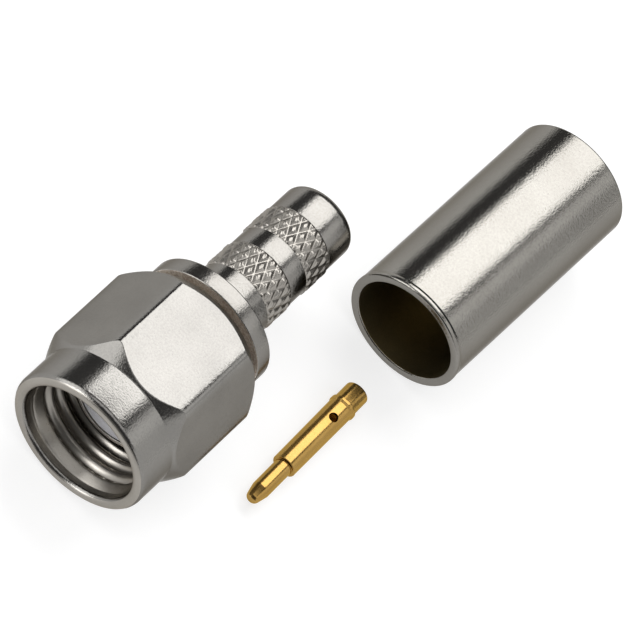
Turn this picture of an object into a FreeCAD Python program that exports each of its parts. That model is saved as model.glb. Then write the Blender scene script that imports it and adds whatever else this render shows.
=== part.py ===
import FreeCAD, Part
import math
import os
import re

import Sketcher

# Coaxial crimp plug with a hexagon coupling nut, laid out with its loose crimp ferrule and contact
# pin. The plug's axis runs along Y: the mouth faces -Y, the cable end faces +Y. The origin is on that
# axis in the mating plane, and everything lies on the plane that touches the nut's lower flat.
# All lengths are in millimetres and all radii are true radii.

SIZES = [
    # coupling nut
    ("hex_flats", 8.0, "across the nut's flats, a standard spanner size"),
    ("nut_length", 8.8, "mouth to rear face"),
    ("nose_wall", 0.66, "wall of the round nose round the entry bore"),
    ("nose_length", 2.28, "mouth to the start of the front bevel"),
    ("lip_round", 0.3, "rounded outer edge of the mouth"),
    ("mouth_edge", 0.08, "small bevel inside the mouth"),
    ("blank_radius", 4.54, "turned radius that trims the hexagon's corners"),
    ("front_bevel", 1.01, "length of the cone at the hexagon's front"),
    ("rear_bevel", 0.98, "length of the cone at the hexagon's rear"),
    ("rear_radius", 3.5, "small end of the rear cone"),
    ("mouth_depth", 2.7, "mouth ahead of the mating plane"),
    ("mouth_radius", 3.25, "plain entry bore"),
    ("mouth_recess", 1.38, "length of the entry bore"),
    ("lead_in", 0.12, "cone from the entry bore to the thread"),
    ("thread_radius", 2.8, "minor radius of the coupling thread"),
    ("thread_reach", 1.6, "thread past the mating plane"),
    ("chamber_radius", 3.2, "relief behind the thread"),
    ("chamber_room", 0.15, "relief floor behind the body's shoulder"),
    ("running_clearance", 0.05, "nut on its journal, on the radius"),
    ("nut_gap", 0.32, "nut's rear face to the flange"),
    # body
    ("sleeve_radius", 2.3, "outer contact sleeve"),
    ("sleeve_bore", 2.05, "inside of the sleeve"),
    ("sleeve_edge", 0.08, "bevel on the sleeve's front edge"),
    ("shoulder_depth", 2.5, "mating plane to the gasket shoulder"),
    ("journal_radius", 2.65, "the nut turns on this"),
    ("flange_radius", 3.55, "stop flange behind the nut"),
    ("flange_width", 0.92, "stop flange"),
    ("flange_edge", 0.07, "bevels on the flange"),
    ("cable_bore", 1.5, "for the cable's inner insulation"),
    ("stem_wall", 0.52, "wall of the crimp stem"),
    ("stem_length", 8.44, "flange to the cable end"),
    ("end_round", 0.5, "rounded cable end"),
    ("end_land", 0.02, "least flat left inside the rounded end"),
    # knurl
    ("front_band_start", 1.74, "flange to the front knurl band"),
    ("front_band_length", 1.8, "front knurl band"),
    ("band_gap", 1.15, "plain ring between the bands"),
    ("rear_band_length", 1.77, "rear knurl band"),
    ("knurl_rise", 0.14, "diamond peaks above the stem"),
    ("knurl_drop", 0.05, "valleys below the stem"),
    ("knurl_starts", 24, "diamonds round the stem"),
    ("diamond_length", 1.1, "one diamond along the stem"),
    ("knurl_root", 0.12, "depth at which the bands join the stem, below the stem's surface"),
    # retaining ring
    ("ring_setback", 1.05, "flange to the ring's rear face"),
    ("ring_thickness", 0.5, "along the axis"),
    ("ring_height", 0.65, "radial section"),
    ("ring_bite", 0.35, "how deep the ring sits below the journal"),
    ("ring_clearance", 0.06, "ring in both of its grooves"),
    ("ring_split", 24, "degrees left open in the ring"),
    # gasket
    ("gasket_thickness", 0.6, "along the axis"),
    ("gasket_width", 0.6, "radial section"),
    ("gasket_edge", 0.1, "bevels on the gasket"),
    ("gasket_clearance", 0.02, "gasket round the sleeve, on the radius"),
    # dielectric
    ("dielectric_length", 4.5, "front face to its seat"),
    ("dielectric_recess", 0.05, "front face behind the mating plane"),
    ("dielectric_clearance", 0.02, "in the sleeve's bore, on the radius"),
    ("contact_clearance", 0.02, "contact in the dielectric, on the radius"),
    ("dielectric_edge", 0.1, "countersink for the contact at the rear"),
    # contact pin
    ("pin_radius", 0.476, "thin front of the contact"),
    ("pin_length", 2.63, "tip to the step"),
    ("nose_taper", 0.8, "tip to the full pin"),
    ("tip_radius", 0.15, "flat end of the tip"),
    ("step_edge", 0.05, "bevel at the step"),
    ("core_front", 0.645, "main section just behind the step"),
    ("core_rear", 0.673, "main section just ahead of the collar"),
    ("core_length", 4.44, "step to collar"),
    ("collar_radius", 0.731, "collar"),
    ("collar_length", 0.31, "collar with its bevel"),
    ("collar_bevel", 0.12, "front bevel of the collar"),
    ("cup_radius", 0.65, "rear of the contact"),
    ("cup_length", 1.13, "collar to the rear end"),
    ("cup_bevel", 0.08, "bevel on the rear end"),
    ("wire_bore", 0.48, "bore for the cable's centre wire"),
    ("wire_depth", 2.95, "bore from the rear end"),
    ("drill_point", 0.25, "cone at the bottom of the bore"),
    ("window_radius", 0.22, "solder window in the contact's side"),
    ("window_setback", 2.5, "rear end to the window"),
    # crimp ferrule
    ("ferrule_radius", 3.26, "outside of the ferrule"),
    ("ferrule_wall", 0.45, "wall"),
    ("ferrule_length", 13.13, "end to end"),
    ("ferrule_lip", 0.03, "flare of the near end, on the radius"),
    ("lip_length", 0.45, "flared stretch"),
    ("lip_taper", 0.35, "from the flare to the plain tube"),
    ("ferrule_edge", 0.06, "bevels on the ferrule's ends"),
    # layout of the loose pieces
    ("ferrule_across", 6.735, "ferrule's near end, to the right of the plug's axis"),
    ("ferrule_along", 15.345, "ferrule's near end, behind the mating plane"),
    ("ferrule_turn", -1.1, "degrees about the vertical"),
    ("contact_across", 7.63, "contact's tip, to the right of the plug's axis"),
    ("contact_along", 4.18, "contact's tip, behind the mating plane"),
    ("contact_turn", 1.24, "degrees about the vertical"),
]

doc = FreeCAD.newDocument("crimp_plug")
sheet = doc.addObject("Spreadsheet::Sheet", "Sizes")
for row, (alias, size, note) in enumerate(SIZES, start=1):
    sheet.set(f"A{row}", alias)
    sheet.set(f"B{row}", str(size))
    sheet.set(f"C{row}", note)
    sheet.setAlias(f"B{row}", alias)
doc.recompute()

# Places along the axis, counted from the mating plane, that more than one piece uses.
NUT_REAR = "(nut_length - mouth_depth)"
FLANGE_FRONT = f"({NUT_REAR} + nut_gap)"
FLANGE_REAR = f"({FLANGE_FRONT} + flange_width)"
CABLE_END = f"({FLANGE_REAR} + stem_length)"
FRONT_BAND = f"({FLANGE_REAR} + front_band_start)"
FRONT_BAND_END = f"({FRONT_BAND} + front_band_length)"
REAR_BAND = f"({FRONT_BAND_END} + band_gap)"
REAR_BAND_END = f"({REAR_BAND} + rear_band_length)"
RING_REAR = f"({FLANGE_FRONT} - ring_setback)"
RING_FRONT = f"({RING_REAR} - ring_thickness)"
DIELECTRIC_SEAT = "(dielectric_recess + dielectric_length)"

# Radii that more than one piece uses.
STEM_RADIUS = "(cable_bore + stem_wall)"
KNURL_CORE = f"({STEM_RADIUS} - knurl_root)"
NOSE_RADIUS = "(mouth_radius + nose_wall)"
RING_INNER = "(journal_radius - ring_bite)"
RING_OUTER = f"({RING_INNER} + ring_height)"
NUT_BORE = "(journal_radius + running_clearance)"

# The plane on which everything lies.
TABLE = "(-hex_flats / 2)"


def on_sheet(expression):
    return re.sub(r"\b([a-z]+(?:_[a-z]+)+)\b", r"Sizes.\1", expression)


def value(expression):
    found = sheet.evalExpression(on_sheet(expression))
    return float(getattr(found, "Value", found))


# Each corner of an outline is (x, y), or (x, y, centre_x, centre_y) where an arc about that centre
# leads to it from the corner before.
def pin_down(sketch, curve, end, x, y):
    for kind, axis, expression in (("DistanceX", -2, x), ("DistanceY", -1, y)):
        if expression == "0":
            sketch.addConstraint(Sketcher.Constraint("PointOnObject", curve, end, axis))
            continue
        size = value(expression)
        row = sketch.addConstraint(Sketcher.Constraint(kind, -1, 1, curve, end, size))
        sketch.setExpression(f"Constraints[{row}]", on_sheet(expression))


def draw_outline(sketch, corners):
    places = [FreeCAD.Vector(value(c[0]), value(c[1]), 0) for c in corners]
    joints = []
    for index, corner in enumerate(corners):
        start, end = places[index - 1], places[index]
        if len(corner) == 2:
            curve = sketch.addGeometry(Part.LineSegment(start, end))
            joints.append((curve, 1, 2))
            continue
        centre = FreeCAD.Vector(value(corner[2]), value(corner[3]), 0)
        angles = [math.atan2(p.y - centre.y, p.x - centre.x) for p in (start, end)]
        forward = (angles[1] - angles[0]) % (2 * math.pi) < math.pi
        first, last = angles if forward else reversed(angles)
        circle = Part.Circle(centre, FreeCAD.Vector(0, 0, 1), (end - centre).Length)
        curve = sketch.addGeometry(Part.ArcOfCircle(circle, first, last))
        joints.append((curve, 1, 2) if forward else (curve, 2, 1))
        if corner[2] == "0":
            sketch.addConstraint(Sketcher.Constraint("PointOnObject", curve, 3, -2))
        else:
            row = sketch.addConstraint(
                Sketcher.Constraint("DistanceX", -1, 1, curve, 3, centre.x)
            )
            sketch.setExpression(f"Constraints[{row}]", on_sheet(corner[2]))
    for index, corner in enumerate(corners):
        curve, _, end = joints[index]
        following, start, _ = joints[(index + 1) % len(corners)]
        sketch.addConstraint(Sketcher.Constraint("Coincident", curve, end, following, start))
        pin_down(sketch, curve, end, corner[0], corner[1])


def add_sketch(body, name, plane="XY_Plane"):
    sketch = body.newObject("Sketcher::SketchObject", name)
    origin_plane = next(f for f in body.Origin.OriginFeatures if f.Role == plane)
    sketch.AttachmentSupport = [(origin_plane, "")]
    sketch.MapMode = "FlatFace"
    return sketch


# A turned piece: its half outline has the radius along X and the axis along Y.
def turn(label, corners, degrees="360"):
    body = doc.addObject("PartDesign::Body", label)
    sketch = add_sketch(body, f"{label}_outline")
    draw_outline(sketch, corners)
    revolved = body.newObject("PartDesign::Revolution", f"{label}_turned")
    revolved.Profile = sketch
    revolved.ReferenceAxis = (sketch, ["V_Axis"])
    revolved.setExpression("Angle", on_sheet(degrees))
    sketch.Visibility = False
    body.Tip = revolved
    doc.recompute()
    return body


def cut(body, name, sketch, both_ways, reverse=False):
    before = body.Shape.Volume
    pocket = body.newObject("PartDesign::Pocket", name)
    pocket.Profile = sketch
    pocket.Type = "ThroughAll"
    pocket.SideType = "Symmetric" if both_ways else "One side"
    pocket.Reversed = reverse
    body.Tip = pocket
    doc.recompute()
    if not body.Shape.Volume < before:
        raise ValueError(f"{name} removes nothing")


def place(piece, x="0", y="0", z="0", turned="0"):
    for axis, expression in (("x", x), ("y", y), ("z", z)):
        piece.setExpression(f"Placement.Base.{axis}", on_sheet(expression))
    if turned != "0":
        piece.Placement.Rotation = FreeCAD.Rotation(FreeCAD.Vector(0, 0, 1), value(turned))
        piece.setExpression("Placement.Rotation.Angle", on_sheet(turned))


# Coupling nut, from its mouth backwards: entry bore, thread bore, relief, then the bore and groove
# that hold it on the body.
def coupling_nut():
    ring_start = f"({RING_FRONT} - ring_clearance + mouth_depth)"
    ring_end = f"({RING_REAR} + ring_clearance + mouth_depth)"
    groove = f"({RING_OUTER} + ring_clearance)"
    thread_end = "(mouth_depth + thread_reach)"
    chamber_end = "(mouth_depth + shoulder_depth + chamber_room)"
    body = turn("coupling_nut", [
        ("mouth_radius + mouth_edge", "0"),
        (f"{NOSE_RADIUS} - lip_round", "0"),
        (NOSE_RADIUS, "lip_round", f"{NOSE_RADIUS} - lip_round", "lip_round"),
        (NOSE_RADIUS, "nose_length"),
        ("blank_radius", "nose_length + front_bevel"),
        ("blank_radius", "nut_length - rear_bevel"),
        ("rear_radius", "nut_length"),
        (NUT_BORE, "nut_length"),
        (NUT_BORE, ring_end),
        (groove, ring_end),
        (groove, ring_start),
        (NUT_BORE, ring_start),
        (NUT_BORE, chamber_end),
        ("chamber_radius", chamber_end),
        ("chamber_radius", thread_end),
        ("thread_radius", thread_end),
        ("thread_radius", "mouth_recess + lead_in"),
        ("mouth_radius", "mouth_recess"),
        ("mouth_radius", "mouth_edge"),
    ])
    flats = add_sketch(body, "hexagon", "XZ_Plane")
    half = "hex_flats / 2"
    corner = "hex_flats / 2 / cos(30)"
    draw_outline(flats, [
        (corner, "0"),
        (f"{corner} / 2", half),
        (f"-{corner} / 2", half),
        (f"-{corner}", "0"),
        (f"-{corner} / 2", f"-{half}"),
        (f"{corner} / 2", f"-{half}"),
    ])
    rim = flats.addGeometry(Part.Circle(FreeCAD.Vector(), FreeCAD.Vector(0, 0, 1), value("hex_flats")))
    flats.addConstraint(Sketcher.Constraint("Coincident", rim, 3, -1, 1))
    row = flats.addConstraint(Sketcher.Constraint("Radius", rim, value("hex_flats")))
    flats.setExpression(f"Constraints[{row}]", on_sheet("max(hex_flats; 2 * blank_radius)"))
    cut(body, "six_flats", flats, both_ways=True)
    place(body, y="-mouth_depth")
    return body


# Diamond knurl: rows of peaks and valley crossings take turns round the stem. Four triangles climb
# from the crossings to each peak.
def knurl_band(label, start, end):
    length = value(f"{end} - {start}")
    rows = max(2, round(2 * length / value("diamond_length")))
    columns = 2 * round(value("knurl_starts"))
    peak = value(f"{STEM_RADIUS} + knurl_rise")
    valley = value(f"{STEM_RADIUS} - knurl_drop")
    step = 2 * math.pi / columns

    def point(row, column):
        radius = peak if (row + column) % 2 == 0 else valley
        angle = step * (column % columns)
        return FreeCAD.Vector(radius * math.cos(angle), length * row / rows, radius * math.sin(angle))

    def face(points):
        return Part.Face(Part.makePolygon(points + points[:1]))

    faces = [face([point(row, c) for c in range(columns)]) for row in (0, rows)]
    for row in range(rows):
        for column in range(columns):
            near = [point(row, column), point(row, column + 1)]
            far = [point(row + 1, column), point(row + 1, column + 1)]
            if (row + column) % 2 == 0:
                faces.append(face([near[0], near[1], far[0]]))
                faces.append(face([near[1], far[1], far[0]]))
            else:
                faces.append(face([near[0], near[1], far[1]]))
                faces.append(face([near[0], far[1], far[0]]))
    shell = Part.Shell(faces)
    solid = Part.Solid(shell)
    if solid.Volume < 0:
        solid.reverse()
    bore = Part.makeCylinder(
        value(f"{KNURL_CORE} - knurl_root"), length, FreeCAD.Vector(), FreeCAD.Vector(0, 1, 0)
    )
    band = doc.addObject("Part::Feature", label)
    band.Shape = solid.cut(bore)
    place(band, y=start)
    return band


# Body: contact sleeve, gasket shoulder, journal with the ring's groove, stop flange, crimp stem.
def connector_body():
    ring_start = f"{RING_FRONT} - ring_clearance"
    ring_end = f"{RING_REAR} + ring_clearance"
    groove = f"({RING_INNER} - ring_clearance)"
    rounding = "min(end_round; stem_wall - end_land)"
    turned = turn("turned_body", [
        ("sleeve_bore", "0"),
        ("sleeve_radius - sleeve_edge", "0"),
        ("sleeve_radius", "sleeve_edge"),
        ("sleeve_radius", "shoulder_depth"),
        ("journal_radius", "shoulder_depth"),
        ("journal_radius", ring_start),
        (groove, ring_start),
        (groove, ring_end),
        ("journal_radius", ring_end),
        ("journal_radius", FLANGE_FRONT),
        ("flange_radius - flange_edge", FLANGE_FRONT),
        ("flange_radius", f"{FLANGE_FRONT} + flange_edge"),
        ("flange_radius", f"{FLANGE_REAR} - flange_edge"),
        ("flange_radius - flange_edge", FLANGE_REAR),
        (STEM_RADIUS, FLANGE_REAR),
        (STEM_RADIUS, FRONT_BAND),
        (KNURL_CORE, FRONT_BAND),
        (KNURL_CORE, FRONT_BAND_END),
        (STEM_RADIUS, FRONT_BAND_END),
        (STEM_RADIUS, REAR_BAND),
        (KNURL_CORE, REAR_BAND),
        (KNURL_CORE, REAR_BAND_END),
        (STEM_RADIUS, REAR_BAND_END),
        (STEM_RADIUS, f"{CABLE_END} - {rounding}"),
        (
            f"{STEM_RADIUS} - {rounding}", CABLE_END,
            f"{STEM_RADIUS} - {rounding}", f"{CABLE_END} - {rounding}",
        ),
        ("cable_bore", CABLE_END),
        ("cable_bore", DIELECTRIC_SEAT),
        ("sleeve_bore", DIELECTRIC_SEAT),
    ])
    bands = [
        knurl_band("front_knurl", FRONT_BAND, FRONT_BAND_END),
        knurl_band("rear_knurl", REAR_BAND, REAR_BAND_END),
    ]
    body = doc.addObject("Part::MultiFuse", "connector_body")
    body.Shapes = [turned] + bands
    doc.recompute()
    return body


# Split spring ring: it sits half in the body's groove and half in the nut's.
def snap_ring():
    body = turn("snap_ring", [
        (RING_INNER, "0"),
        (RING_OUTER, "0"),
        (RING_OUTER, "ring_thickness"),
        (RING_INNER, "ring_thickness"),
    ], degrees="360 - ring_split")
    place(body, y=RING_FRONT)
    return body


# Gasket on the body's shoulder, round the sleeve.
def gasket():
    inner = "sleeve_radius + gasket_clearance"
    outer = f"({inner} + gasket_width)"
    body = turn("gasket", [
        (inner, "0"),
        (f"{outer} - gasket_edge", "0"),
        (outer, "gasket_edge"),
        (outer, "gasket_thickness - gasket_edge"),
        (f"{outer} - gasket_edge", "gasket_thickness"),
        (inner, "gasket_thickness"),
    ])
    place(body, y="shoulder_depth - gasket_thickness")
    return body


# Insulator in the sleeve, with the hole that takes the contact pin.
def dielectric():
    outer = "sleeve_bore - dielectric_clearance"
    hole = "(core_rear + contact_clearance)"
    body = turn("dielectric", [
        (hole, "0"),
        (outer, "0"),
        (outer, "dielectric_length"),
        (f"{hole} + dielectric_edge", "dielectric_length"),
        (hole, "dielectric_length - dielectric_edge"),
    ])
    place(body, y="dielectric_recess")
    return body


# Contact pin, from its tip backwards, with the bore for the centre wire and its solder window.
def center_contact():
    collar_start = "(pin_length + core_length)"
    collar_end = f"({collar_start} + collar_length)"
    rear = f"({collar_end} + cup_length)"
    bore_end = f"({rear} - wire_depth)"
    bevel = "min(cup_bevel; (cup_radius - wire_bore) / 2)"
    body = turn("center_contact", [
        ("0", "0"),
        ("tip_radius", "0"),
        ("pin_radius", "nose_taper"),
        ("pin_radius", "pin_length"),
        ("core_front - step_edge", "pin_length"),
        ("core_front", "pin_length + step_edge"),
        ("core_rear", collar_start),
        ("collar_radius", f"{collar_start} + collar_bevel"),
        ("collar_radius", collar_end),
        ("cup_radius", collar_end),
        ("cup_radius", f"{rear} - {bevel}"),
        (f"cup_radius - {bevel}", rear),
        ("wire_bore", rear),
        ("wire_bore", bore_end),
        ("0", f"{bore_end} - drill_point"),
    ])
    window = add_sketch(body, "window")
    hole = window.addGeometry(
        Part.Circle(FreeCAD.Vector(0, value(f"{rear} - window_setback"), 0), FreeCAD.Vector(0, 0, 1),
                    value("window_radius"))
    )
    window.addConstraint(Sketcher.Constraint("PointOnObject", hole, 3, -2))
    row = window.addConstraint(
        Sketcher.Constraint("DistanceY", -1, 1, hole, 3, value(f"{rear} - window_setback"))
    )
    window.setExpression(f"Constraints[{row}]", on_sheet(f"{rear} - window_setback"))
    row = window.addConstraint(Sketcher.Constraint("Radius", hole, value("window_radius")))
    window.setExpression(f"Constraints[{row}]", on_sheet("window_radius"))
    cut(body, "solder_window", window, both_ways=False, reverse=True)
    place(body, "contact_across", "contact_along", f"{TABLE} + collar_radius", "contact_turn")
    return body


# Crimp ferrule: a thin tube with a slightly flared near end.
def crimp_ferrule():
    bore = "(ferrule_radius - ferrule_wall)"
    flare = "(ferrule_radius + ferrule_lip)"
    body = turn("crimp_ferrule", [
        (f"{bore} + ferrule_edge", "0"),
        (f"{flare} - ferrule_edge", "0"),
        (flare, "ferrule_edge"),
        (flare, "lip_length"),
        ("ferrule_radius", "lip_length + lip_taper"),
        ("ferrule_radius", "ferrule_length - ferrule_edge"),
        ("ferrule_radius - ferrule_edge", "ferrule_length"),
        (f"{bore} + ferrule_edge", "ferrule_length"),
        (bore, "ferrule_length - ferrule_edge"),
        (bore, "ferrule_edge"),
    ])
    place(body, "ferrule_across", "ferrule_along", f"{TABLE} + {flare}", "ferrule_turn")
    return body


pieces = [
    coupling_nut(),
    connector_body(),
    snap_ring(),
    gasket(),
    dielectric(),
    center_contact(),
    crimp_ferrule(),
]
doc.recompute()

for item in doc.Objects:
    if "Invalid" in item.State or "Error" in item.State:
        raise ValueError(f"{item.Name} failed: {item.State}")
for piece in pieces:
    if piece.Shape.isNull() or not piece.Shape.isValid():
        raise ValueError(f"{piece.Label} has no sound shape")

os.makedirs("parts", exist_ok=True)
for piece in pieces:
    piece.Shape.exportStep(f"parts/{piece.Label}.step")
    box = piece.Shape.BoundBox
    print(f"{piece.Label}: {len(piece.Shape.Solids)} solid, {piece.Shape.Volume:.2f} mm3, "
          f"{box.XLength:.2f} x {box.YLength:.2f} x {box.ZLength:.2f} mm")
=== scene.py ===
import math

import bmesh
import bpy
import numpy as np
from mathutils import Matrix, Vector


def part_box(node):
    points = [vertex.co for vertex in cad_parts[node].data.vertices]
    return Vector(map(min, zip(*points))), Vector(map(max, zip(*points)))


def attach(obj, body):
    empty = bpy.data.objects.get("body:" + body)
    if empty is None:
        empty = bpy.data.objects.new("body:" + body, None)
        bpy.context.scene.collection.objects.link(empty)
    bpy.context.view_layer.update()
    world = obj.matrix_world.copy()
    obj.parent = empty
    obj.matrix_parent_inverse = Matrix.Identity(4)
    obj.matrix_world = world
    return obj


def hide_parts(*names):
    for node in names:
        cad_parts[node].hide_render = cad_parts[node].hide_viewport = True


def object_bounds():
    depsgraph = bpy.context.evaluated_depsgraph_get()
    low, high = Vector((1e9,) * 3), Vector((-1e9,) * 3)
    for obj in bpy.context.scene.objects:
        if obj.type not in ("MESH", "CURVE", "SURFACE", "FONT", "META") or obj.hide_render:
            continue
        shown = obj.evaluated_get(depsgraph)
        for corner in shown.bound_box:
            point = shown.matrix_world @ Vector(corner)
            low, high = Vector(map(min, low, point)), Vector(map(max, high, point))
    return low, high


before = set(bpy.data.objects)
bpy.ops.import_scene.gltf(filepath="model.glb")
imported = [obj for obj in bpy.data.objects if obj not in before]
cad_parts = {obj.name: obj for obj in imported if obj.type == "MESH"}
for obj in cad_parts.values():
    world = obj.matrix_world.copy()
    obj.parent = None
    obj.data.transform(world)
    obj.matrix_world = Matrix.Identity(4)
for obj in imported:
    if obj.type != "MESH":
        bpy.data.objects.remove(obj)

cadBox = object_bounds()
mm = 0.001
hair = 0.01  # mm, wider than any rounding error and finer than any edge
weld = 0.0001  # mm, points closer than this are one
noiseCore = (0.35, 0.65)  # where most of a noise's values lie
noiseSpan = (0.3, 0.7)  # where nearly all of them lie

# Every piece is laid out in millimetres round its own axis, which runs along Y.


def inMm(corner):
    return [place / mm for place in corner]


def toLinear(hexColour):
    channels = [int(hexColour[i:i + 2], 16) / 255 for i in (1, 3, 5)]
    linear = [c / 12.92 if c <= 0.04045 else ((c + 0.055) / 1.055) ** 2.4 for c in channels]
    return (*linear, 1.0)


# adds a node, sets its properties, and fills or links its inputs
def addNode(tree, kind, inputs=None, **settings):
    node = tree.nodes.new(kind)
    for name, setting in settings.items():
        setattr(node, name, setting)
    for socket, given in (inputs or {}).items():
        if isinstance(given, bpy.types.NodeSocket):
            tree.links.new(given, node.inputs[socket])
        else:
            node.inputs[socket].default_value = given
    return node


def emptyMaterial(name):
    material = bpy.data.materials.new(name)
    material.use_nodes = True
    material.node_tree.nodes.clear()
    return material, material.node_tree


# A plated metal: clouds and fine specks in its tone, grit in its surface, tool lines round the axis.
# The tint greys what is seen at a low angle, so that the rims of round pieces don't turn white.
def platedMetal(name, look):
    material, tree = emptyMaterial(name)
    place = addNode(tree, "ShaderNodeTexCoord").outputs["Object"]
    clouds = addNode(tree, "ShaderNodeTexNoise", {
        "Vector": place, "Scale": 1 / (look["cloudMm"] * mm), "Detail": 2.0})
    grit = addNode(tree, "ShaderNodeTexNoise", {
        "Vector": place, "Scale": 1 / (look["gritMm"] * mm), "Detail": 3.0, "Roughness": 0.6})
    # The specks follow the grit: darker where it stands high. This is painted fine shade of the grit,
    # laid over the clouds' random tone.
    specks = addNode(tree, "ShaderNodeMapRange", {
        "Value": grit.outputs["Fac"], "From Min": noiseCore[0], "From Max": noiseCore[1],
        "To Min": -look["speck"], "To Max": look["speck"]})
    patchy = addNode(tree, "ShaderNodeMath", {
        0: clouds.outputs["Fac"], 1: specks.outputs["Result"]}, operation="ADD", use_clamp=True)
    tone = addNode(tree, "ShaderNodeMix", {
        "Factor": patchy.outputs["Value"],
        "A": toLinear(look["tone"]), "B": toLinear(look["toneDeep"])}, data_type="RGBA")
    turned = roundTheAxis(tree, place)
    lines = addNode(tree, "ShaderNodeTexNoise", {
        "Vector": turned.outputs["Vector"], "Scale": 1 / (look["lineMm"] * mm), "Detail": 2.0})
    gritBump = addNode(tree, "ShaderNodeBump", {
        "Height": grit.outputs["Fac"], "Strength": 1.0, "Distance": look["gritDepthMm"] * mm})
    lineBump = addNode(tree, "ShaderNodeBump", {
        "Height": lines.outputs["Fac"], "Strength": 1.0, "Distance": look["lineDepthMm"] * mm,
        "Normal": gritBump.outputs["Normal"]})
    rough = addNode(tree, "ShaderNodeMapRange", {
        "Value": grit.outputs["Fac"], "From Min": noiseSpan[0], "From Max": noiseSpan[1],
        "To Min": look["roughness"][0], "To Max": look["roughness"][1]})
    shader = addNode(tree, "ShaderNodeBsdfPrincipled", {
        "Base Color": tone.outputs["Result"], "Metallic": 1.0,
        "Specular Tint": toLinear(look["edgeTint"]), "Roughness": rough.outputs["Result"],
        "Normal": lineBump.outputs["Normal"]})
    addNode(tree, "ShaderNodeOutputMaterial", {"Surface": shader.outputs["BSDF"]})
    return material


# the radius and the place along the axis, which don't change round a turned piece
def roundTheAxis(tree, place):
    xyz = addNode(tree, "ShaderNodeSeparateXYZ", {"Vector": place})
    across = addNode(tree, "ShaderNodeCombineXYZ", {"X": xyz.outputs["X"], "Y": xyz.outputs["Z"]})
    radius = addNode(tree, "ShaderNodeVectorMath", {0: across.outputs["Vector"]}, operation="LENGTH")
    return addNode(tree, "ShaderNodeCombineXYZ", {
        "X": radius.outputs["Value"], "Y": xyz.outputs["Y"]})


# the outline with an arc in place of each corner that has a rounding
def roundedOutline(corners, closed=True, steps=4):
    points = []
    last = len(corners) - 1
    for i, (radius, along, rounding) in enumerate(corners):
        here = np.array((radius, along), float)
        if rounding == 0 or (not closed and i in (0, last)):
            points.append(here)
            continue
        before, after = corners[i - 1], corners[(i + 1) % len(corners)]
        back, ahead = np.array(before[:2], float) - here, np.array(after[:2], float) - here
        backRun, aheadRun = np.linalg.norm(back), np.linalg.norm(ahead)
        back, ahead = back / backRun, ahead / aheadRun
        half = math.acos(np.clip(back @ ahead, -1, 1)) / 2
        reach = min(rounding / math.tan(half), backRun - before[2], aheadRun - after[2])
        centre = here + (back + ahead) / np.linalg.norm(back + ahead) * reach / math.cos(half)
        start, end = here + back * reach - centre, here + ahead * reach - centre
        sweep = math.pi - 2 * half
        for step in range(steps + 1):
            share = step / steps
            arm = math.sin((1 - share) * sweep) * start + math.sin(share * sweep) * end
            points.append(centre + arm / math.sin(sweep))
    return np.array(points)


# the larger of two radii, or with side -1 the smaller, with a soft line where they meet
def blended(one, other, soft, side=1):
    return (one + other + side * np.sqrt((one - other) ** 2 + soft ** 2)) / 2


# a piece from rows of rings: radius and along for each row and column, and the columns' angles
def ringPiece(name, radius, along, angles, closed=True):
    rows, columns = radius.shape
    points = np.stack((radius * np.sin(angles), along, radius * np.cos(angles)), axis=-1) * mm
    faces = []
    for row in range(rows if closed else rows - 1):
        near, far = row * columns, (row + 1) % rows * columns
        for column in range(columns):
            after = (column + 1) % columns
            faces.append((near + column, near + after, far + after, far + column))
    mesh = bpy.data.meshes.new(name)
    mesh.from_pydata(points.reshape(-1, 3), [], faces)
    piece = bpy.data.objects.new(name, mesh)
    bpy.context.scene.collection.objects.link(piece)
    tidyMesh(mesh)
    return piece


# welds the points that fall together on the axis, and turns every face outwards
def tidyMesh(mesh):
    shape = bmesh.new()
    shape.from_mesh(mesh)
    bmesh.ops.remove_doubles(shape, verts=shape.verts, dist=weld * mm)
    bmesh.ops.recalc_face_normals(shape, faces=shape.faces)
    shape.to_mesh(mesh)
    shape.free()


def turnedPiece(name, outline, columns, closed=True):
    angles = np.arange(columns) * 2 * math.pi / columns
    radius = np.repeat(outline[:, :1], columns, axis=1)
    along = np.repeat(outline[:, 1:], columns, axis=1)
    return ringPiece(name, radius, along, angles, closed)


# smooth shading that keeps flats flat and corners crisp
def shadeCrisp(piece, degrees=50):
    piece.data.shade_smooth()
    piece.data.set_sharp_from_angle(angle=math.radians(degrees))
    weighted = piece.modifiers.new("flat faces stay flat", "WEIGHTED_NORMAL")
    weighted.keep_sharp = True
    weighted.weight = 80


# gives a piece its materials and the body it rides on, and hides the CAD node it stands for
def dress(piece, body, node, slot, *materials):
    for material in materials:
        piece.data.materials.append(material)
    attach(piece, body)
    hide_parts(node)


# Coupling nut

nut = {
    "noseRadius": 3.91, "noseLength": 2.28, "lipRound": 0.36,
    "frontBevel": 1.01, "rearBevel": 0.98, "rearRadius": 3.5, "rearRound": 0.14,
    "mouthRadius": 3.25, "mouthRound": 0.27, "mouthStep": 0.56,
    "leadIn": 1.1, "leadInBlend": 0.06,  # the long cone from the mouth into the thread
    "edgeRound": 0.12, "cornerRound": 0.13,
    "chamberRadius": 3.2, "chamberEnd": 2.65, "journalBore": 2.7, "boreEdge": 0.03,
    "grooveRadius": 3.01, "grooveStart": 4.81, "grooveEnd": 5.43,
    "sides": 6, "flatColumns": 42, "cornerColumns": (-1.0, -0.45, 0.0, 0.45, 1.0),
    "cornerMargin": 1.5,  # degrees kept for the columns round each corner
    # how far a face leans along the axis: the lip's front, the rear cone, the rear face
    "lipLean": -0.6, "coneLean": 0.5, "rearLean": 0.9,
    "crispAngle": 38,  # degrees, edges sharper than this stay crisp
}
halfFace = 180 / nut["sides"]  # degrees from a flat's middle to the hexagon's corner
thread = {
    "pitch": 25.4 / 36, "minor": 2.8, "major": 3.175, "end": 1.6,
    "crestCurve": 1.7,  # above 1 for the broad round crests that the plating leaves
    "crestPlace": -1.04,  # where a crest passes the bottom of the nut
    "rowsPerPitch": 28,
}


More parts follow.
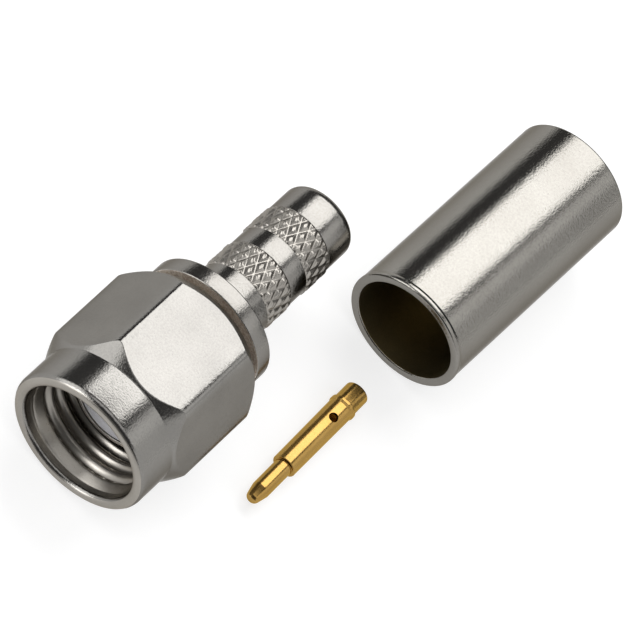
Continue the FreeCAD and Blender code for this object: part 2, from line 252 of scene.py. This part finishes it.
def threadRadius(along, angles):
    turns = (along - thread["crestPlace"]) / thread["pitch"] - (angles - math.pi) / (2 * math.pi)
    phase = turns % 1
    offCrest = 2 * np.minimum(phase, 1 - phase)
    climb = offCrest ** thread["crestCurve"]
    return thread["minor"] + (thread["major"] - thread["minor"]) * climb


# the nut's columns, in degrees from the middle of its top flat, closer together at the corners
def nutColumns(flat, blank):
    trimmed = math.degrees(math.acos(flat / blank))  # from a flat's middle to its trimmed corner
    corner = np.array(nut["cornerColumns"])
    reach = trimmed - nut["cornerMargin"]
    inside = np.linspace(-reach, reach, nut["flatColumns"])
    face = np.concatenate(([-halfFace], -trimmed + corner, inside, trimmed + corner))
    return np.concatenate([face + 2 * halfFace * side for side in range(nut["sides"])])


def couplingNut():
    low, high = map(inMm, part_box("coupling_nut"))
    front, rear = low[1], high[1]
    flat, blank = high[2], high[0]
    degrees = nutColumns(flat, blank)
    angles = np.radians(degrees)
    fromFlat = np.radians((degrees + halfFace) % (2 * halfFace) - halfFace)
    # a hexagon whose corners are cut round by the turned blank
    outer = blended(flat / np.cos(fromFlat), blank, nut["cornerRound"], side=-1)

    noseEnd = front + nut["noseLength"]
    threadStart = front + nut["mouthStep"]
    radiusRows, alongRows = [], []
    for top in outer:
        # how much of each cone this column has: all of it at a corner, less at a flat's middle
        rise = (top - nut["noseRadius"]) / (blank - nut["noseRadius"])
        fall = (top - nut["rearRadius"]) / (blank - nut["rearRadius"])
        small = nut["edgeRound"]
        outline = roundedOutline([
            (nut["journalBore"], rear, nut["boreEdge"]),
            (nut["journalBore"], nut["grooveEnd"], 0),
            (nut["grooveRadius"], nut["grooveEnd"], 0),
            (nut["grooveRadius"], nut["grooveStart"], 0),
            (nut["journalBore"], nut["grooveStart"], 0),
            (nut["journalBore"], nut["chamberEnd"], 0),
            (nut["chamberRadius"], nut["chamberEnd"], 0),
            (nut["chamberRadius"], thread["end"], 0),
            (nut["mouthRadius"], threadStart, 0),
            (nut["mouthRadius"], front, nut["mouthRound"]),
            (nut["noseRadius"], front, nut["lipRound"]),
            (nut["noseRadius"], noseEnd, small),
            (top, noseEnd + nut["frontBevel"] * rise, small),
            (top, rear - nut["rearBevel"] * fall, small),
            (nut["rearRadius"], rear, nut["rearRound"]),
        ])
        radiusRows.append(outline[:, 0])
        alongRows.append(outline[:, 1])
    radius, along = np.array(radiusRows).T, np.array(alongRows).T

    threadRows = round((thread["end"] - threadStart) / thread["pitch"] * thread["rowsPerPitch"])
    steps = np.linspace(thread["end"], threadStart, threadRows + 1)[:, None] * np.ones(len(angles))
    leadIn = np.interp(
        steps, [threadStart, threadStart + nut["leadIn"]], [nut["mouthRadius"], thread["minor"]])
    threaded = blended(threadRadius(steps, angles), leadIn, nut["leadInBlend"])
    split = int(np.argmax(np.isclose(along[:, 0], threadStart)))  # the row that the thread replaces
    radius = np.concatenate((radius[:split], threaded, radius[split + 1:]))
    along = np.concatenate((along[:split], steps, along[split + 1:]))
    piece = ringPiece("couplingNut", radius, along, angles)

    # The paler plate goes on the bore, on the lip's forward faces and on the rear cone. It is a turned
    # finish, and on the lip and cone it is also a painted highlight.
    for face in piece.data.polygons:
        lean = face.normal.y
        inBore = math.hypot(face.center.x, face.center.z) / mm < nut["mouthRadius"] + hair
        onLip = face.center.y / mm < front + nut["lipRound"] and lean < nut["lipLean"]
        if inBore or onLip or nut["coneLean"] < lean < nut["rearLean"]:
            face.material_index = 1
        # near-white plate on the rear face: painted light in the gap
        if lean > nut["rearLean"]:
            face.material_index = 2
    shadeCrisp(piece, nut["crispAngle"])
    return piece


# Nickel over brass, bead-blasted before plating: a soft satin sheen with a fine even grain.
# The grit is about 0.05 mm on the real nut and drawn twice as coarse so that it shows.
satinNickel = {
    "tone": "#898783", "toneDeep": "#767471", "cloudMm": 2.5, "speck": 0.12,
    "gritMm": 0.1, "gritDepthMm": 0.0085, "lineMm": 0.08, "lineDepthMm": 0.0006,
    "edgeTint": "#B4B1AC", "roughness": (0.12, 0.2),
}
# The bore, thread, lip and rear cone are turned after blasting: paler, with a smooth soft shine. On the
# lip only the faces that lean forward take it, so there and on the rear cone it is partly a painted
# highlight, and the darker satin beyond the lip shows as a painted dark line.
boreNickelAndPaintedHighlight = {
    "tone": "#A09C96", "toneDeep": "#8E8A83", "cloudMm": 1.5, "speck": 0.1,
    "gritMm": 0.07, "gritDepthMm": 0.0012, "lineMm": 0.09, "lineDepthMm": 0.0008,
    "edgeTint": "#D8D4CE", "roughness": (0.27, 0.35),
}
# Little nickel reaches the gap between nut and flange: dull and mottled, with warm brass showing. Its
# near-white tone is painted light, which keeps the deep shade there from going black.
gapNickelPaintedLight = {
    "tone": "#ECE8E2", "toneDeep": "#C6BBB0", "cloudMm": 1.0, "speck": 0.5,
    "gritMm": 0.11, "gritDepthMm": 0.01, "lineMm": 0.09, "lineDepthMm": 0.001,
    "edgeTint": "#FFFFFF", "roughness": (0.4, 0.5),
}
dress(couplingNut(), "nut", "coupling_nut", "nut_nickel",
      platedMetal("satin nickel plate, blasted", satinNickel),
      platedMetal("bright nickel plate, turned bore and painted highlight", boreNickelAndPaintedHighlight),
      platedMetal("nut's rear face, painted light in the gap", gapNickelPaintedLight))
print("coupling nut built")


# Body with its crimp stem

body = {
    "sleeveRadius": 2.3, "sleeveBore": 2.05, "sleeveRound": 0.07, "shoulder": 2.5,
    "journalRadius": 2.65, "ringStart": 4.81, "ringEnd": 5.43, "ringRadius": 2.24,
    "flangeStart": 6.42, "flangeEnd": 7.34, "flangeEdge": 0.07,
    "stemRadius": 2.02, "cableBore": 1.5, "endRound": 0.5, "dielectricSeat": 4.55,
    "edgeRound": 0.03, "footRound": 0.04,
}
knurl = {
    # start, end, and how deep the second track of the knurling wheel cuts, from 0 to 1
    "bands": [(9.08, 10.88, 0.55), (12.03, 13.8, 0.4)],
    "starts": 24, "diamondLength": 1.12, "rise": 0.1, "drop": 0.015,
    "landShare": 0.08,  # the part of each diamond that stays flat on top
    "trackSlope": 3,  # the second track's sides, as against those of the first
    "endRun": 0.07, "columnsPerDiamond": 16, "rowsPerDiamond": 26,
}


# height of the knurl, from 0 in the grooves to 1 on the peaks: two families of crossing grooves,
# with a shallower groove of the wheel's second track halfway between
def knurlHeight(along, angles, second):
    turns = angles * knurl["starts"] / (2 * math.pi)
    height = np.ones_like(along * angles)
    for hand in (1, -1):
        phase = (turns + hand * along / knurl["diamondLength"]) % 1
        offGroove = np.minimum(phase, 1 - phase) * 2
        height = np.minimum(height, offGroove / (1 - knurl["landShare"]))
        if hand == 1:
            height = np.minimum(height, 1 - second * (1 - knurl["trackSlope"] * (1 - offGroove)))
    return np.clip(height, 0, 1)


def connectorBody():
    low, high = map(inMm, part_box("connector_body"))
    front, cableEnd = low[1], high[1]
    flange = high[0]
    columns = knurl["starts"] * knurl["columnsPerDiamond"]
    angles = np.arange(columns) * 2 * math.pi / columns
    stem, small, foot = body["stemRadius"], body["edgeRound"], body["footRound"]
    core = stem - knurl["drop"]
    corners = [
        (body["sleeveBore"], body["dielectricSeat"], 0),
        (body["sleeveBore"], front, small),
        (body["sleeveRadius"], front, body["sleeveRound"]),
        (body["sleeveRadius"], body["shoulder"], 0),
        (body["journalRadius"], body["shoulder"], small),
        (body["journalRadius"], body["ringStart"], 0),
        (body["ringRadius"], body["ringStart"], 0),
        (body["ringRadius"], body["ringEnd"], 0),
        (body["journalRadius"], body["ringEnd"], 0),
        (body["journalRadius"], body["flangeStart"], foot),
        (flange, body["flangeStart"], body["flangeEdge"]),
        (flange, body["flangeEnd"], body["flangeEdge"]),
        (stem, body["flangeEnd"], foot),
    ]
    for start, end, _ in knurl["bands"]:
        corners += [(stem, start, small), (core, start, 0), (core, end, 0), (stem, end, small)]
    corners += [
        (stem, cableEnd, body["endRound"]),
        (body["cableBore"], cableEnd, foot),
        (body["cableBore"], body["dielectricSeat"], 0),
    ]
    outline = roundedOutline(corners, steps=6)
    radius = np.repeat(outline[:, :1], columns, axis=1)
    along = np.repeat(outline[:, 1:], columns, axis=1)
    for start, end, second in knurl["bands"]:
        # the knurl's rows take the place of the band's two plain ones
        first = int(np.argmin(np.hypot(radius[:, 0] - core, along[:, 0] - start)))
        rows = round((end - start) / knurl["diamondLength"] * knurl["rowsPerDiamond"])
        steps = np.linspace(start, end, rows + 1)[:, None] * np.ones(columns)
        height = knurlHeight(steps, angles, second)
        ramp = np.clip(np.minimum(steps - start, end - steps) / knurl["endRun"], 0, 1)
        knurled = core + height * ramp * (knurl["rise"] + knurl["drop"])
        radius = np.concatenate((radius[:first], knurled, radius[first + 2:]))
        along = np.concatenate((along[:first], steps, along[first + 2:]))
    piece = ringPiece("connectorBody", radius, along, angles)

    # The faces inside the nut that look forward, and the journal in the gap, take the near-white plate:
    # painted light in their shade.
    for face in piece.data.polygons:
        place = face.center.y / mm
        fromAxis = math.hypot(face.center.x, face.center.z) / mm
        facesForward = face.normal.y < -nut["rearLean"]
        if place < body["flangeStart"] + hair and (facesForward or place > body["ringEnd"]):
            face.material_index = 1
        inBand = any(start < place < end for start, end, _ in knurl["bands"])
        if inBand and fromAxis > (body["cableBore"] + stem) / 2:
            face.material_index = 2
    shadeCrisp(piece)
    return piece


# Nickel over turned brass: a crisper shine than the nut's, with faint tool lines round the axis.
# The feed marks are about 0.03 mm apart and drawn wider so that they show.
turnedNickel = {
    "tone": "#868480", "toneDeep": "#7A7773", "cloudMm": 2.0, "speck": 0.12,
    "gritMm": 0.1, "gritDepthMm": 0.008, "lineMm": 0.07, "lineDepthMm": 0.0006,
    "edgeTint": "#B4B1AC", "roughness": (0.14, 0.2),
}
# Rolled, not cut: the knurl is duller and paler, and its light is softer.
knurlNickel = {
    "tone": "#A19D97", "toneDeep": "#8E8A84", "cloudMm": 1.0, "speck": 0.1,
    "gritMm": 0.08, "gritDepthMm": 0.001, "lineMm": 0.07, "lineDepthMm": 0.0004,
    "edgeTint": "#B4B1AC", "roughness": (0.26, 0.34),
}
dress(connectorBody(), "connector", "connector_body", "body_nickel",
      platedMetal("turned nickel plate", turnedNickel),
      platedMetal("body inside the nut, painted light", gapNickelPaintedLight),
      platedMetal("rolled nickel plate, knurled", knurlNickel))
print("body built")


# Split ring that holds the nut on the body

spring = {"inner": 2.3, "outer": 2.95, "split": 24, "edgeRound": 0.08, "steps": 140}


def snapRing():
    low, high = map(inMm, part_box("snap_ring"))
    outline = roundedOutline([
        (spring["inner"], low[1], spring["edgeRound"]),
        (spring["outer"], low[1], spring["edgeRound"]),
        (spring["outer"], high[1], spring["edgeRound"]),
        (spring["inner"], high[1], spring["edgeRound"]),
    ])
    # the CAD ring starts on +X and opens just before it again
    sweep = np.linspace(0, 2 * math.pi - math.radians(spring["split"]), spring["steps"])
    shape = bmesh.new()
    loops = []
    for turn in sweep:
        ring = [Vector((r * math.cos(turn), y, -r * math.sin(turn))) * mm for r, y in outline]
        loops.append([shape.verts.new(point) for point in ring])
    count = len(outline)
    for near, far in zip(loops, loops[1:]):
        for i in range(count):
            shape.faces.new((near[i], near[(i + 1) % count], far[(i + 1) % count], far[i]))
    shape.faces.new(loops[0])
    shape.faces.new(loops[-1])
    bmesh.ops.recalc_face_normals(shape, faces=shape.faces)
    mesh = bpy.data.meshes.new("snapRing")
    shape.to_mesh(mesh)
    shape.free()
    piece = bpy.data.objects.new("snapRing", mesh)
    bpy.context.scene.collection.objects.link(piece)
    shadeCrisp(piece)
    return piece


# Beryllium copper spring wire, rolled square: warm brown-orange, smooth, with faint draw marks.
springCopper = {
    "tone": "#C48A5E", "toneDeep": "#A8704A", "cloudMm": 1.0, "speck": 0.2,
    "gritMm": 0.05, "gritDepthMm": 0.001, "lineMm": 0.06, "lineDepthMm": 0.0015,
    "edgeTint": "#FFFFFF", "roughness": (0.22, 0.34),
}
dress(snapRing(), "connector", "snap_ring", "spring_copper",
      platedMetal("beryllium copper wire, rolled", springCopper))
print("snap ring built")


# Gasket on the body's shoulder

gasket = {"inner": 2.32, "outer": 2.92, "outerRound": 0.22, "innerRound": 0.05, "columns": 128}


def gasketRing():
    low, high = map(inMm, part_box("gasket"))
    outline = roundedOutline([
        (gasket["inner"], low[1], gasket["innerRound"]),
        (gasket["outer"], low[1], gasket["outerRound"]),
        (gasket["outer"], high[1], gasket["outerRound"]),
        (gasket["inner"], high[1], gasket["innerRound"]),
    ], steps=6)
    piece = turnedPiece("gasket", outline, gasket["columns"])
    shadeCrisp(piece)
    return piece


# Silicone rubber, moulded: a dark matt ring with a soft sheen and a faint flow in its tone.
siliconeRubber = {
    "tone": "#2A2624", "toneDeep": "#3B3533", "flowMm": 0.4, "skinMm": 0.05, "skinDepthMm": 0.002,
    "roughness": 0.55, "ior": 1.41,
}


def mouldedRubber(name, look):
    material, tree = emptyMaterial(name)
    place = addNode(tree, "ShaderNodeTexCoord").outputs["Object"]
    flow = addNode(tree, "ShaderNodeTexNoise", {
        "Vector": place, "Scale": 1 / (look["flowMm"] * mm), "Detail": 3.0})
    tone = addNode(tree, "ShaderNodeMix", {
        "Factor": flow.outputs["Fac"],
        "A": toLinear(look["tone"]), "B": toLinear(look["toneDeep"])}, data_type="RGBA")
    skin = addNode(tree, "ShaderNodeTexNoise", {
        "Vector": place, "Scale": 1 / (look["skinMm"] * mm), "Detail": 2.0})
    bump = addNode(tree, "ShaderNodeBump", {
        "Height": skin.outputs["Fac"], "Strength": 1.0, "Distance": look["skinDepthMm"] * mm})
    shader = addNode(tree, "ShaderNodeBsdfPrincipled", {
        "Base Color": tone.outputs["Result"], "Roughness": look["roughness"], "IOR": look["ior"],
        "Normal": bump.outputs["Normal"]})
    addNode(tree, "ShaderNodeOutputMaterial", {"Surface": shader.outputs["BSDF"]})
    return material


dress(gasketRing(), "connector", "gasket", "gasket_rubber",
      mouldedRubber("silicone rubber, moulded", siliconeRubber))
print("gasket built")


# Dielectric that fills the contact sleeve

dielectric = {
    "radius": 2.03, "hole": 0.69, "countersink": 0.1,
    "rimRound": 0.06, "holeRound": 0.04, "rearRound": 0.03, "sinkRound": 0.02, "columns": 128,
}


def dielectricPlug():
    low, high = map(inMm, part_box("dielectric"))
    hole, sink = dielectric["hole"], dielectric["countersink"]
    outline = roundedOutline([
        (hole, low[1], dielectric["holeRound"]),
        (dielectric["radius"], low[1], dielectric["rimRound"]),
        (dielectric["radius"], high[1], dielectric["rearRound"]),
        (hole + sink, high[1], dielectric["sinkRound"]),
        (hole, high[1] - sink, dielectric["sinkRound"]),
    ])
    piece = turnedPiece("dielectric", outline, dielectric["columns"])
    shadeCrisp(piece)
    return piece


# PTFE rod, turned: milky white and waxy, with faint rings from the tool.
ptfeRod = {
    "tone": "#E9E8EA", "toneDeep": "#DCDBE0", "milkMm": 0.8, "lineMm": 0.08, "lineDepthMm": 0.003,
    "roughness": 0.42, "ior": 1.35, "glowShare": 0.25, "glowMm": 0.4,
}


def turnedPtfe(name, look):
    material, tree = emptyMaterial(name)
    place = addNode(tree, "ShaderNodeTexCoord").outputs["Object"]
    milk = addNode(tree, "ShaderNodeTexNoise", {
        "Vector": place, "Scale": 1 / (look["milkMm"] * mm), "Detail": 2.0})
    tone = addNode(tree, "ShaderNodeMix", {
        "Factor": milk.outputs["Fac"],
        "A": toLinear(look["tone"]), "B": toLinear(look["toneDeep"])}, data_type="RGBA")
    turned = roundTheAxis(tree, place)
    lines = addNode(tree, "ShaderNodeTexNoise", {
        "Vector": turned.outputs["Vector"], "Scale": 1 / (look["lineMm"] * mm), "Detail": 1.0})
    bump = addNode(tree, "ShaderNodeBump", {
        "Height": lines.outputs["Fac"], "Strength": 1.0, "Distance": look["lineDepthMm"] * mm})
    shader = addNode(tree, "ShaderNodeBsdfPrincipled", {
        "Base Color": tone.outputs["Result"], "Roughness": look["roughness"], "IOR": look["ior"],
        "Subsurface Weight": look["glowShare"], "Subsurface Radius": (look["glowMm"],) * 3,
        "Subsurface Scale": mm, "Normal": bump.outputs["Normal"]})
    addNode(tree, "ShaderNodeOutputMaterial", {"Surface": shader.outputs["BSDF"]})
    return material


dress(dielectricPlug(), "connector", "dielectric", "dielectric_ptfe",
      turnedPtfe("turned PTFE", ptfeRod))
print("dielectric built")


# Centre contact

contact = {
    "turn": 1.24,  # degrees off the plug's axis, as it lies on the table
    "tipRadius": 0.3, "tipRound": 0.28, "noseTaper": 0.8, "noseRound": 0.5,
    "pinRadius": 0.476, "pinLength": 2.63,
    "coreFront": 0.645, "coreRear": 0.673, "coreLength": 4.44,
    "collarRadius": 0.731, "collarLength": 0.31, "collarBevel": 0.12,
    "cupRadius": 0.65, "cupLength": 1.13, "cupRound": 0.12,
    "edgeRound": 0.04, "footRound": 0.02, "boreRound": 0.03,
    "wireBore": 0.48, "wireDepth": 2.95, "drillPoint": 0.25,
    "windowRadius": 0.25, "windowSetback": 2.36, "drillLength": 2.0,
    "columns": 96, "windowColumns": 48,
    "crispAngle": 40,  # degrees, edges sharper than this stay crisp
}


# a hole from the top through the wall of the wire bore, through which the joint is soldered
def cutWindow(piece, rear):
    radius, length = contact["windowRadius"], contact["drillLength"]
    window = bmesh.new()
    bmesh.ops.create_cone(
        window, cap_ends=True, segments=contact["windowColumns"], radius1=radius * mm,
        radius2=radius * mm, depth=length * mm,
        matrix=Matrix.Translation(Vector((0, rear - contact["windowSetback"], length / 2)) * mm))
    drillMesh = bpy.data.meshes.new("windowDrill")
    window.to_mesh(drillMesh)
    window.free()
    drill = bpy.data.objects.new("windowDrill", drillMesh)
    bpy.context.scene.collection.objects.link(drill)
    hole = piece.modifiers.new("solder window", "BOOLEAN")
    hole.object = drill
    hole.solver = "EXACT"
    bpy.context.view_layer.update()
    drilled = bpy.data.meshes.new_from_object(
        piece.evaluated_get(bpy.context.evaluated_depsgraph_get()))
    piece.modifiers.clear()
    piece.data = drilled
    bpy.data.objects.remove(drill)


def centreContact():
    low, high = map(inMm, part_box("center_contact"))
    collarStart = contact["pinLength"] + contact["coreLength"]
    collarEnd = collarStart + contact["collarLength"]
    rear = collarEnd + contact["cupLength"]
    boreEnd = rear - contact["wireDepth"]
    edge, foot = contact["edgeRound"], contact["footRound"]
    outline = roundedOutline([
        (0, 0, 0),
        (contact["tipRadius"], 0, contact["tipRound"]),
        (contact["pinRadius"], contact["noseTaper"], contact["noseRound"]),
        (contact["pinRadius"], contact["pinLength"], foot),
        (contact["coreFront"], contact["pinLength"], edge),
        (contact["coreRear"], collarStart, edge),
        (contact["collarRadius"], collarStart + contact["collarBevel"], edge),
        (contact["collarRadius"], collarEnd, edge),
        (contact["cupRadius"], collarEnd, foot),
        (contact["cupRadius"], rear, contact["cupRound"]),
        (contact["wireBore"], rear, contact["boreRound"]),
        (contact["wireBore"], boreEnd, foot),
        (0, boreEnd - contact["drillPoint"], 0),
    ], closed=False, steps=6)
    piece = turnedPiece("centreContact", outline, contact["columns"], closed=False)
    cutWindow(piece, rear)
    shadeCrisp(piece, contact["crispAngle"])

    # it lies on its collar
    turn = math.radians(contact["turn"])
    collarPlace = collarStart + contact["collarLength"] / 2
    middle = (low[0] + high[0]) / 2
    tipPlace = Vector((middle + math.sin(turn) * collarPlace, low[1], low[2] + contact["collarRadius"]))
    piece.location = tipPlace * mm
    piece.rotation_euler = (0, 0, turn)
    return piece


# Gold over turned brass: deep warm yellow, bright in streaks, with fine tool lines.
goldPlate = {
    "tone": "#A98950", "toneDeep": "#98783E", "cloudMm": 1.2, "speck": 0.15,
    "gritMm": 0.06, "gritDepthMm": 0.0006, "lineMm": 0.05, "lineDepthMm": 0.0007,
    "edgeTint": "#F2E2B8", "roughness": (0.16, 0.26),
}
dress(centreContact(), "connector", "center_contact", "contact_gold",
      platedMetal("gold plate over turned brass", goldPlate))
print("centre contact built")


# Crimp ferrule

ferrule = {
    "turn": -1.1,  # degrees off the plug's axis, as it lies on the table
    "radius": 3.26, "wall": 0.45, "length": 13.13, "edge": 0.11,
    "lip": 0.03, "lipLength": 0.22, "lipTaper": 0.12, "lipRound": 0.1,
    "boreShare": 0.2,  # how far up the rounded edges the bore's finish reaches
    "columns": 192,
}


def crimpFerrule():
    low, high = map(inMm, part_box("crimp_ferrule"))
    radius, length = ferrule["radius"], ferrule["length"]
    bore, flare, edge = radius - ferrule["wall"], radius + ferrule["lip"], ferrule["edge"]
    outline = roundedOutline([
        (bore, length, edge),
        (bore, 0, edge),
        (flare, 0, edge),
        (flare, ferrule["lipLength"], ferrule["lipRound"]),
        (radius, ferrule["lipLength"] + ferrule["lipTaper"], ferrule["lipRound"]),
        (radius, length, edge),
    ])
    outline[:, 1] -= length / 2
    piece = turnedPiece("crimpFerrule", outline, ferrule["columns"])
    points = piece.data.vertices
    for face in piece.data.polygons:
        widest = max(math.hypot(points[v].co.x, points[v].co.z) for v in face.vertices)
        if widest / mm < bore + ferrule["boreShare"] * edge:
            face.material_index = 1
    shadeCrisp(piece)
    middle = Vector([(a + b) / 2 for a, b in zip(low, high)])
    piece.location = middle * mm
    piece.rotation_euler = (0, 0, math.radians(ferrule["turn"]))
    return piece


# Nickel over drawn tube: satin, with faint rings where it was polished.
# Its grit is about 0.05 mm too, and drawn twice as coarse so that it shows.
drawnNickel = {
    "tone": "#8A8883", "toneDeep": "#7E7B76", "cloudMm": 3.0, "speck": 0.15,
    "gritMm": 0.11, "gritDepthMm": 0.011, "lineMm": 0.1, "lineDepthMm": 0.0008,
    "edgeTint": "#B4B1AC", "roughness": (0.1, 0.16),
}
# The plating is thin inside a tube, so the bore keeps the drawn brass's dull olive tone.
drawnBore = {
    "tone": "#8E8262", "toneDeep": "#7A6E50", "cloudMm": 2.0, "speck": 0.2,
    "gritMm": 0.09, "gritDepthMm": 0.002, "lineMm": 0.1, "lineDepthMm": 0.001,
    "edgeTint": "#FFFFFF", "roughness": (0.36, 0.48),
}
dress(crimpFerrule(), "connector", "crimp_ferrule", "ferrule_nickel",
      platedMetal("nickel plate over drawn tube", drawnNickel),
      platedMetal("thin plate inside drawn tube", drawnBore))
print("crimp ferrule built")


# Studio and camera

studio = {
    "floorHalf": 2.0,  # metres
    "floorColour": "#ABABAB", "floorGlow": 0.7,  # together they show as white, with a soft shadow
    "roomColour": "#FFFFFF", "roomLevel": 0.1,
}
# Each width runs across the connector and each height along it, in metres.
lamps = [
    # name, direction from the object, distance, width, height, brightness of its face
    ("keyBox", (-0.24, 0.54, 0.805), 0.8, 0.9, 0.42, 3.9),
    ("rightHighBox", (0.57, 0.2, 0.64), 0.8, 0.33, 0.9, 1.25),
    ("rightLowBox", (0.93, 0.03, 0.28), 0.8, 0.54, 1.15, 0.95),
    ("leftBox", (-0.83, -0.42, 0.36), 0.8, 0.62, 0.8, 2.3),
    ("lowBox", (-0.62, -0.76, 0.19), 0.8, 0.42, 0.35, 3.8),
    ("topBox", (-0.08, -0.2, 0.97), 0.8, 0.95, 0.34, 1.14),
]
# Fitted to the outlines of the pieces, in millimetres and degrees.
view = {
    "target": (3.713, 14.295, -4.0), "elevation": 57.99, "heading": 3.8, "roll": 51.179,
    "distance": 315.043, "lens": 366.29, "sensor": 36,
}


# Paper that shows white to the camera and in the metal, and takes the pieces' shadows.
def whiteFloor():
    size, level = studio["floorHalf"], cadBox[0][2]
    mesh = bpy.data.meshes.new("floor")
    mesh.from_pydata([(-size, -size, level), (size, -size, level), (size, size, level),
                      (-size, size, level)], [], [(0, 1, 2, 3)])
    floor = bpy.data.objects.new("floor", mesh)
    bpy.context.scene.collection.objects.link(floor)
    material, tree = emptyMaterial("white paper")
    sheet = addNode(tree, "ShaderNodeBsdfDiffuse", {"Color": toLinear(studio["floorColour"])})
    path = addNode(tree, "ShaderNodeLightPath")
    seen = addNode(tree, "ShaderNodeMath", {
        0: path.outputs["Is Camera Ray"], 1: path.outputs["Is Glossy Ray"]}, operation="ADD")
    seenAll = addNode(tree, "ShaderNodeMath", {
        0: seen.outputs["Value"], 1: path.outputs["Is Transmission Ray"]},
        operation="ADD", use_clamp=True)
    strength = addNode(tree, "ShaderNodeMath", {
        0: seenAll.outputs["Value"], 1: studio["floorGlow"]}, operation="MULTIPLY")
    glow = addNode(tree, "ShaderNodeEmission", {"Strength": strength.outputs["Value"]})
    both = addNode(tree, "ShaderNodeAddShader", {
        0: sheet.outputs["BSDF"], 1: glow.outputs["Emission"]})
    addNode(tree, "ShaderNodeOutputMaterial", {"Surface": both.outputs["Shader"]})
    mesh.materials.append(material)


def dimRoom():
    world = bpy.data.worlds.new("dim room")
    world.use_nodes = True
    back = world.node_tree.nodes["Background"]
    back.inputs["Color"].default_value = toLinear(studio["roomColour"])
    back.inputs["Strength"].default_value = studio["roomLevel"]
    bpy.context.scene.world = world


def softBox(name, direction, distance, width, height, brightness):
    lamp = bpy.data.lights.new(name, "AREA")
    lamp.shape = "RECTANGLE"
    lamp.size, lamp.size_y = width, height
    lamp.energy = brightness * math.pi * width * height  # watts, for a face of that brightness
    box = bpy.data.objects.new(name, lamp)
    target = Vector(view["target"]) * mm
    away = Vector(direction).normalized()
    across = Vector((0, 1, 0)).cross(away).normalized()
    turn = Matrix((across, away.cross(across), away)).transposed().to_4x4()
    box.matrix_world = Matrix.Translation(target + away * distance) @ turn
    bpy.context.scene.collection.objects.link(box)


def photoCamera():
    rise, heading, roll = (math.radians(view[turn]) for turn in ("elevation", "heading", "roll"))
    forward = Vector((math.sin(heading) * math.cos(rise), math.cos(heading) * math.cos(rise),
                      -math.sin(rise)))
    right = Vector((math.cos(heading), -math.sin(heading), 0))
    up = right.cross(forward)
    right, up = (math.cos(roll) * right + math.sin(roll) * up,
                 math.cos(roll) * up - math.sin(roll) * right)
    place = Vector(view["target"]) * mm - forward * view["distance"] * mm
    lens = bpy.data.cameras.new("photoCamera")
    lens.lens, lens.sensor_width = view["lens"], view["sensor"]
    lens.clip_start, lens.clip_end = 0.01, 20
    camera = bpy.data.objects.new("photoCamera", lens)
    turn = Matrix((right, up, -forward)).transposed().to_4x4()
    camera.matrix_world = Matrix.Translation(place) @ turn
    bpy.context.scene.collection.objects.link(camera)
    bpy.context.scene.camera = camera


whiteFloor()
dimRoom()
for lamp in lamps:
    softBox(*lamp)
photoCamera()
bpy.context.scene.view_settings.view_transform = "Standard"
print("studio and camera set")
